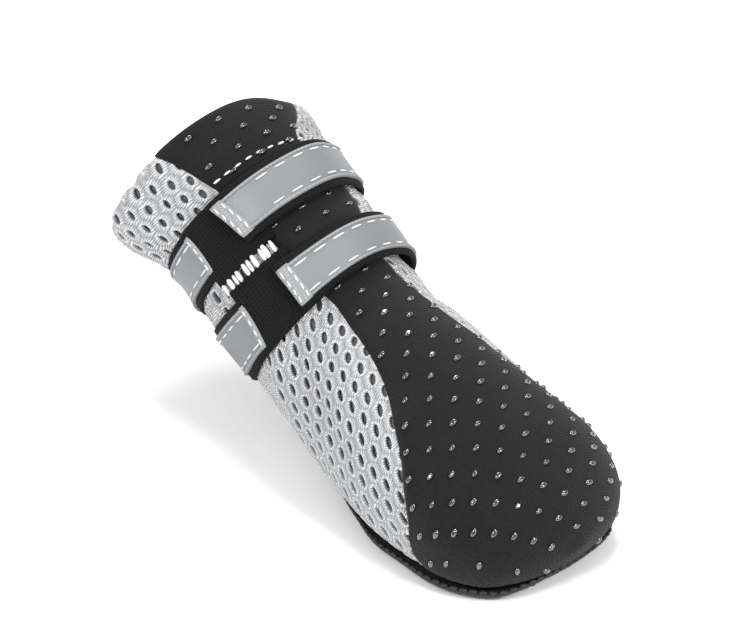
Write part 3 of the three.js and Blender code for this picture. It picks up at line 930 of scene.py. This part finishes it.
sole_canvas = coated_canvas()
edge_turn = [(1.3, 0.0), (0.95, 0.1), (0.75, 0.3), (0.65, 0.6), (0.75, 0.9), (0.95, 1.1), (1.3, 1.2)]
sole_rings = [sole_ring(inset, SOLE_UNDER) for inset in (7.2, 5.2, 3.5, 2.6, 2.0)]
sole_rings += [sole_ring(inset, SOLE_UNDER + rise) for inset, rise in edge_turn]
sole_rings += [sole_ring(inset, SOLE_TOP) for inset in (2.0, 2.6, 3.5, 5.2, 7.2)]
sole = pad("sole_pad", sole_rings, sole_canvas)
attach(sole, "root")
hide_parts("sole")

stud_spots = []
for row in range(int(58.0 / (STUD_SPACING / 2.0))):
    for column in range(-7, 8):
        spot = ((column + (row % 2) / 2.0) * STUD_SPACING, 4.4 + row * STUD_SPACING / 2.0)
        clear = float(inside_sole(np.array([spot[0] * MM, spot[1] * MM + toe_y, 0.0])))
        if clear > 1.9:
            lift = float(sole_lift(spot[1], clear))
            stud_spots.append((spot[0] * MM, spot[1] * MM + toe_y, (lift + SOLE_UNDER) * MM))
stud_profile = [(0, -0.2), (0.5, -0.12), (0.5, 0.1), (0.42, 0.62), (0.25, 0.95), (0, 1.0)]
stud_shape = turned_shape("stud", stud_profile, 10)


def sole_rubber_finish():
    """Moulded rubber studs: black, a little glossier than the canvas, their tops scuffed grey."""
    material, tree, shader = new_material("moulded_sole_rubber")
    place = add(tree, "ShaderNodeTexCoord").outputs["Object"]
    scuff, shade = mottled(tree, place, 420.0, 4.0, "#161617", "#3a3a3c")
    rough = add(tree, "ShaderNodeMapRange", {"Value": scuff, "To Min": 0.35, "To Max": 0.6}).outputs["Result"]
    fill(tree, shader, {"Base Color": shade, "Roughness": rough, "IOR": 1.52})
    return material


studs = put_on_points("sole_studs", stud_shape, np.array(stud_spots), (0, 0, -1), (1, 0, 0),
                      (STUD_WIDTH * MM, STUD_WIDTH * MM, SOLE_UNDER * MM), sole_rubber_finish())
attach(studs, "root")

scallops = int(sole_length / SCALLOP_PITCH)
picks = np.arange(scallops) / scallops * SOLE_STEPS
ring = sole_ring(0.55, SOLE_TOP + 0.1)
at_ring = lambda rows, k: np.stack([
    np.interp(k, np.arange(SOLE_STEPS + 1), np.r_[column, column[:1]]) for column in rows.T], -1)
scallop_spots = at_ring(ring, picks)
outward = at_ring(np.c_[sole_outward, np.full(SOLE_STEPS, 0.75)], picks)
heading = np.c_[-outward[:, 1], outward[:, 0], np.zeros(scallops)]
scallop_profile = [(0, -0.5), (0.3, -0.4), (0.5, 0.0), (0.42, 0.3), (0.22, 0.46), (0, 0.5)]
scallop_shape = turned_shape("scallop", scallop_profile, 10)
scallop_size = (SCALLOP_PITCH * 0.94 * MM, 0.8 * MM, 0.75 * MM)
sole_edge = put_on_points("sole_edge_stitching", scallop_shape, scallop_spots, outward, heading,
                          scallop_size, sole_canvas, jitter=0.12)
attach(sole_edge, "root")


# ==== Insole ====
# A thin die-cut foam sheet with a brushed black face, laid loose on the floor of the boot.
# It isn't seen from outside, so its outline follows the sole's.
INSOLE_UNDER, INSOLE_THICK, INSOLE_INSET = 4.15, 1.2, 3.6  # mm


def brushed_foam():
    """Foam with a brushed nylon face: soft, very dull, charcoal."""
    material, tree, shader = new_material("brushed_foam")
    place = add(tree, "ShaderNodeTexCoord").outputs["Object"]
    nap, shade = mottled(tree, place, 1100.0, 4.0, "#1e1e20", "#3b3b3e")
    bump = add(tree, "ShaderNodeBump", {"Height": nap, "Strength": 0.6, "Distance": 0.0003})
    fill(tree, shader, {
        "Base Color": shade, "Normal": bump.outputs["Normal"], "Roughness": 0.95,
        "Sheen Weight": 0.2})
    return material


def insole_ring(inset, height):
    """The insole's outline moved in, at a height in mm over the floor, inside the lining."""
    flat = sole_outline - sole_outward * (INSOLE_INSET + inset)
    dished = 0.5 * smooth(3.0, 0.0, inset) * (1.0 - smooth(30.0, 50.0, flat[:, 1]))
    return np.c_[flat[:, 0], flat[:, 1] + toe_y / MM, np.full(SOLE_STEPS, height) + dished] * MM


low, high = INSOLE_UNDER, INSOLE_UNDER + INSOLE_THICK
insole_rings = [insole_ring(i, low) for i in (3.6, 2.0, 0.5)]
insole_rings += [insole_ring(0.15, low + 0.2), insole_ring(0.0, low + 0.6), insole_ring(0.15, high - 0.2)]
insole_rings += [insole_ring(i, high) for i in (0.5, 2.0, 3.6)]
insole = pad("foam_insole", insole_rings, brushed_foam())
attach(insole, "root")
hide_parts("insole")


# ==== Straps ====
# Two bands of black webbing, each sewn round the back of the leg. Each runs on over the front
# and fastens on its own ribbed loop end, with grey reflective tape sewn along its outer face.
STRAP_START, STRAP_END = 100.0, 492.0  # degrees round the leg
STRAP_WIDTH, STRAP_HALF_TURN = 11.0, 63.0  # mm of cloth, for the weave
CLIMB_START, CLIMB_END = 400.0, 446.0  # where a band goes up on to its own start
WEBBING_THICK, TAPE_THICK, LAYER_STEP = 1.15, 0.4, 1.75  # mm
TAPE_SHARE, BINDING_SHARE, FOLD_SHARE = 0.73, 0.8, 0.05  # of the webbing's width
STITCH_INSET = 0.17  # of half the webbing's width, in from the tape's edge
STITCH_STEP = 12.0  # degrees from one stitch to the next
TAPE_START = {"lower": 163.0, "upper": 166.0}
STAND_OFF = {"lower": 1.7, "upper": 0.5}  # mm that a band stands off the boot on the wearer's left
LOOP_START = 124.0
LOOP_SIDES = {"lower": (-1.0, 1.38), "upper": (-1.38, 1.0)}  # its ribbed end is wider than the band
END_ANGLES = {"lower": (490.5, 494.0), "upper": (496.5, 503.0)}  # its free end, low edge and high edge


def band(strap, angle, across, out):
    """Points on a band: angle in degrees, across from -1 at its low edge to 1, out in mm."""
    angle, across, out = np.broadcast_arrays(angle, across, out)
    low, high = strap_edges(strap, angle)
    station = (low + high) / 2.0 + (high - low) / 2.0 * across
    lift = LAYER_STEP * smooth(CLIMB_START, CLIMB_END, angle)
    lift = lift + STAND_OFF[strap] * hump(angle - 402.0, 26.0) * (0.75 - 0.25 * across)
    ripple = 0.12 * np.sin(np.radians(angle) * 9.0 + (2.0 if strap == "upper" else 0.0))
    return form(station, angle, -0.05 + lift + ripple + out + settled(station, angle))


def band_grid(strap, start, end, across_from, across_to, out, rows=13, crown=0.0, slant=(0.0, 1.0)):
    """A grid of points along a band, every 2 degrees, with a flat or crowned face. slant is how
    much of the free end's slant its first and its last row take."""
    steps = int(abs(end - start) / 2.0) + 2
    t = np.linspace(0.0, 1.0, steps)[:, None]
    across = np.linspace(across_from, across_to, rows)[None, :]
    low_end, high_end = END_ANGLES[strap]
    slanted = low_end + (high_end - low_end) * (across + 1.0) / 2.0 - STRAP_END
    angle = start + (end - start) * t + slanted * (slant[0] + (slant[1] - slant[0]) * t ** 3)
    round_off = 1.0 - np.abs(np.linspace(-1.0, 1.0, rows)) ** 6
    out = out + crown * round_off[None, :] * np.ones((steps, 1))
    across = np.broadcast_to(across, angle.shape)
    uv = np.stack([angle / 180.0 * STRAP_HALF_TURN, across * STRAP_WIDTH / 2.0], -1)
    return band(strap, angle, across, out), uv


def polyester_webbing(name, dark, light, rib, depth):
    """Woven webbing: ribs run across it every `rib` mm, crossed by finer warp threads."""
    material, tree, shader = new_material(name)
    flat_cloth = add(tree, "ShaderNodeTexCoord").outputs["UV"]
    ribs = add(tree, "ShaderNodeTexWave", {
        "Vector": flat_cloth, "Scale": WAVE / rib, "Distortion": 0.3},
        bands_direction="X").outputs["Fac"]
    warp = add(tree, "ShaderNodeTexWave", {
        "Vector": flat_cloth, "Scale": WAVE / 0.7, "Distortion": 0.4},
        bands_direction="Y").outputs["Fac"]
    woven = add(tree, "ShaderNodeMath", {0: ribs, 1: warp}, operation="MULTIPLY").outputs[0]
    place = add(tree, "ShaderNodeTexCoord").outputs["Object"]
    fuzz = add(tree, "ShaderNodeTexNoise", {"Vector": place, "Scale": 1600.0, "Detail": 3.0}).outputs["Fac"]
    mix = add(tree, "ShaderNodeMath", {0: woven, 1: fuzz}, operation="MULTIPLY").outputs[0]
    shade = add(tree, "ShaderNodeMix", {
        "Factor": mix, "A": linear(dark), "B": linear(light)}, data_type="RGBA")
    bump = add(tree, "ShaderNodeBump", {"Height": woven, "Strength": 0.7, "Distance": depth * MM})
    fill(tree, shader, {
        "Base Color": shade.outputs["Result"], "Normal": bump.outputs["Normal"], "Roughness": 0.85,
        "Specular IOR Level": 0.25})
    return material


def reflective_tape():
    """Grey reflective fabric: smooth and even, a soft metallic sheen from glass beads."""
    material, tree, shader = new_material("grey_reflective_tape")
    place = add(tree, "ShaderNodeTexCoord").outputs["Object"]
    beads = add(tree, "ShaderNodeTexNoise", {"Vector": place, "Scale": 2500.0, "Detail": 1.0}).outputs["Fac"]
    _, shade = mottled(tree, place, 70.0, 3.0, "#717477", "#84878a")
    rough = add(tree, "ShaderNodeMapRange", {"Value": beads, "To Min": 0.4, "To Max": 0.58}).outputs["Result"]
    bump = add(tree, "ShaderNodeBump", {"Height": beads, "Strength": 0.15, "Distance": 0.0001})
    fill(tree, shader, {
        "Base Color": shade, "Roughness": rough, "Normal": bump.outputs["Normal"],
        "Metallic": 0.15})
    return material


def thread(name, colour):
    """Twisted polyester sewing thread: bright, with a slight gloss along the stitch."""
    material, tree, shader = new_material(name)
    place = add(tree, "ShaderNodeTexCoord").outputs["Object"]
    _, shade = mottled(tree, place, 2200.0, 2.0, "#bcbec0", colour)
    fill(tree, shader, {"Base Color": shade, "Roughness": 0.55})
    return material


plain_webbing = polyester_webbing("black_webbing", "#080809", "#1e1e20", 0.9, 0.3)
loop_webbing = polyester_webbing("ribbed_loop_webbing", "#020203", "#222225", 0.9, 0.5)
tape_face = reflective_tape()
fold_face = polyester_webbing("folded_tape_edge", "#8b8e90", "#b4b6b8", 0.9, 0.1)
binding_face = polyester_webbing("pale_binding", "#8f9294", "#b9bbbd", 0.9, 0.1)
white_thread = thread("white_sewing_thread", "#f4f4f4")
TAPE_STITCH, END_STITCH = (3.5, 0.42, 0.4), (1.7, 0.42, 0.35)  # length, width and height in mm
COLLAR_STITCH = (1.9, 0.55, 0.45)
stitch_spots, stitch_facing, stitch_heading, stitch_size = [], [], [], []


def sew(points, facing, heading, size):
    """Adds stitches, each a place, its facing and heading, and its length, width and height in mm."""
    stitch_spots.extend(points)
    stitch_facing.extend(facing)
    stitch_heading.extend(heading)
    stitch_size.extend([[v * MM for v in size]] * len(points))


def sew_band(strap, angles, across, out, size, slant=0.0):
    """Stitches on a band at angles, along it, or turned across it by a slant in radians."""
    here = band(strap, angles, across, out)
    ahead = band(strap, angles + 0.6, across, out) - band(strap, angles - 0.6, across, out)
    aside = band(strap, angles, across + 0.03, out) - band(strap, angles, across - 0.03, out)
    facing = unit(np.cross(aside, ahead))
    outwards = form(12.0, angles, 5.0) - form(12.0, angles, 0.0)
    facing *= np.sign(np.sum(facing * outwards, -1, keepdims=True))
    sew(here, facing, unit(ahead) * np.cos(slant) + unit(aside) * np.sin(slant), size)


def strip(name, strap, angles, sides, top, under, material, rows=13, crown=0.0, slant=(0.0, 1.0)):
    """A closed strip along a band from one angle and side to another, between two heights in mm,
    and the grid of points of its underside."""
    outer, uv = band_grid(strap, *angles, *sides, top, rows, crown, slant)
    inner, _ = band_grid(strap, *angles, *sides, under, rows, 0.0, slant)
    return slab(name, outer, inner, [material], uv), inner


for strap in STRAPS:
    tape_from = TAPE_START[strap]
    webbing, inner = strip(strap + "_strap_webbing", strap, (STRAP_START, STRAP_END), (-1.0, 1.0),
                           WEBBING_THICK - 0.12, 0.0, plain_webbing, crown=0.12)
    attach(webbing, "root")
    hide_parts(strap + "_strap")

    # The loop end is wider than the band, and ribbed.
    loop_end, _ = strip(strap + "_strap_loop_end", strap, (LOOP_START, tape_from + 2), LOOP_SIDES[strap],
                        WEBBING_THICK + 0.25, 0.1, loop_webbing, crown=0.1, slant=(0.0, 0.0))
    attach(loop_end, "root")

    # The reflective tape, with a folded edge on each side.
    tape_top = WEBBING_THICK + TAPE_THICK
    tape_angles = tape_from, STRAP_END - 5
    tape, _ = strip(strap + "_strap_tape", strap, tape_angles, (-TAPE_SHARE, TAPE_SHARE),
                    tape_top - 0.1, WEBBING_THICK - 0.1, tape_face, crown=0.1)
    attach(tape, "root")
    for side in (-1.0, 1.0):
        fold_sides = side * (TAPE_SHARE - FOLD_SHARE), side * (TAPE_SHARE + FOLD_SHARE)
        fold, _ = strip(strap + ("_strap_low_fold" if side < 0 else "_strap_high_fold"), strap, tape_angles,
                        fold_sides, tape_top, WEBBING_THICK - 0.1, fold_face, rows=7, crown=0.22)
        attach(fold, "root")
        stitch_angles = np.arange(tape_from + 6.0, STRAP_END - 9.0, STITCH_STEP)
        sew_band(strap, stitch_angles, side * (TAPE_SHARE - STITCH_INSET), tape_top + 0.04, TAPE_STITCH)

    # A pale binding closes the free end, and a narrower one the tape's start.
    for label, start, end, slant in (("free_end", STRAP_END - 6.5, STRAP_END, (1.0, 1.0)),
                                     ("root", tape_from - 0.5, tape_from + 2.5, (0.0, 0.0))):
        binding, _ = strip(f"{strap}_strap_{label}_binding", strap, (start, end),
                           (-BINDING_SHARE, BINDING_SHARE), tape_top + 0.12, WEBBING_THICK - 0.2,
                           binding_face, crown=0.15, slant=slant)
        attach(binding, "root")

    # Two rows of stitches across the free end, and one across the tape's start.
    low_end, high_end = END_ANGLES[strap]
    for back_by, slanted in ((1.0, 1.0), (5.6, 1.0), (STRAP_END - tape_from - 1.0, 0.0)):
        rows_across = np.array([-0.56, -0.19, 0.19, 0.56])
        lean = low_end + (high_end - low_end) * (rows_across + 1.0) / 2.0 - STRAP_END
        sew_band(strap, STRAP_END - back_by + lean * slanted, rows_across, tape_top + 0.3,
                 END_STITCH, slant=math.pi / 2.0)

# The mesh is pinched between the two loop ends into a row of small white ribs.
rib_angles = np.arange(128.0, 166.0, 4.2) + 0.9 * np.sin(np.arange(10) * 2.3)
lower_top = strap_edges("lower", rib_angles)[1]
upper_low = strap_edges("upper", rib_angles)[0]
rib_station = (lower_top + upper_low) / 2.0
rib_spots = form(rib_station, rib_angles, settled(rib_station, rib_angles) + 0.75)
rib_up = form(rib_station + 0.1, rib_angles) - form(rib_station - 0.1, rib_angles)
rib_facing = form(rib_station, rib_angles, 3.0) - form(rib_station, rib_angles, 0.0)
rib_profile = [(0, -0.5), (0.3, -0.4), (0.5, 0.0), (0.42, 0.3), (0.25, 0.45), (0, 0.5)]
rib_shape = turned_shape("rib", rib_profile, 10)
ribs = put_on_points("pinched_mesh_ribs", rib_shape, rib_spots, rib_facing, rib_up,
                     (4.4 * MM, 1.3 * MM, 1.3 * MM), white_thread, jitter=0.5)
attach(ribs, "root")

# A row of white stitches holds the vamp down just above the upper band.
row_angles = np.linspace(130.0, 72.0, 9)
row_station = np.interp(row_angles, [72.0, 102.0, 130.0], [14.62, 14.74, 14.72])
row_part = part_at(row_station, row_angles)
row_here = cloth(row_station, row_part, VAMP_OUTSIDE + 0.12)
row_facing, row_along = facing_at(row_station, row_part)
sew(row_here, row_facing, row_along, COLLAR_STITCH)

stitch_profile = [(0, -0.5), (0.3, -0.35), (0.5, 0.0), (0.4, 0.3), (0.2, 0.45), (0, 0.5)]
stitch_shape = turned_shape("stitch", stitch_profile, 8)
stitches = put_on_points("strap_stitches", stitch_shape, np.array(stitch_spots), np.array(stitch_facing),
                         np.array(stitch_heading), np.array(stitch_size), white_thread, jitter=0.15)
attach(stitches, "root")

# ==== Floor, light and camera ====
floor_material, tree, shader = new_material("white_paper")
fill(tree, shader, {"Base Color": linear("#ffffff"), "Roughness": 0.9})
floor_corners = [(-3, -3, 0), (3, -3, 0), (3, 3, 0), (-3, 3, 0)]
floor = new_piece("floor", floor_corners, [(0, 1, 2, 3)], [floor_material], False)


LIGHT_AIM = Vector((0.0, 0.0, 0.03))
SKY_STRENGTH = 0.62


def softbox(name, place, width, power):
    """A square lamp of a width in metres and a power in watts, turned to the boot."""
    light = bpy.data.lights.new(name, "AREA")
    light.shape = "SQUARE"
    light.size = width
    light.energy = power
    lamp = bpy.data.objects.new(name, light)
    bpy.context.scene.collection.objects.link(lamp)
    lamp.location = place
    lamp.rotation_euler = (LIGHT_AIM - Vector(place)).to_track_quat("-Z", "Y").to_euler()


softbox("left_softbox", (-0.75, -0.15, 0.8), 0.24, 5.5)
softbox("right_softbox", (0.1, -0.85, 0.8), 0.24, 7.0)
softbox("top_softbox", (0.35, 0.4, 1.0), 0.4, 7.0)
world = bpy.data.worlds.new("studio")
bpy.context.scene.world = world
world.use_nodes = True
world.node_tree.nodes["Background"].inputs["Color"].default_value = linear("#ffffff")
world.node_tree.nodes["Background"].inputs["Strength"].default_value = SKY_STRENGTH

CAMERA_AZIMUTH, CAMERA_ELEVATION, CAMERA_ROLL = -46.0, 35.0, 3.0
CAMERA_DISTANCE, CAMERA_WIDTH = 0.9, 0.150  # metres, and width seen at that distance
CAMERA_AIM, SENSOR_WIDTH = Vector((0.0, 0.0, 0.0325)), 36.0
a, e = math.radians(CAMERA_AZIMUTH), math.radians(CAMERA_ELEVATION)
back = Vector((math.sin(a) * math.cos(e), -math.cos(a) * math.cos(e), math.sin(e)))
eye = bpy.data.cameras.new("camera")
eye.sensor_width = SENSOR_WIDTH
eye.lens = SENSOR_WIDTH * CAMERA_DISTANCE / CAMERA_WIDTH
camera = bpy.data.objects.new("camera", eye)
bpy.context.scene.collection.objects.link(camera)
camera.location = CAMERA_AIM + back * CAMERA_DISTANCE
roll = Quaternion((0, 0, 1), math.radians(CAMERA_ROLL))
camera.rotation_euler = (back.to_track_quat("Z", "Y") @ roll).to_euler()
bpy.context.scene.camera = camera
bpy.context.scene.view_settings.view_transform = "Standard"
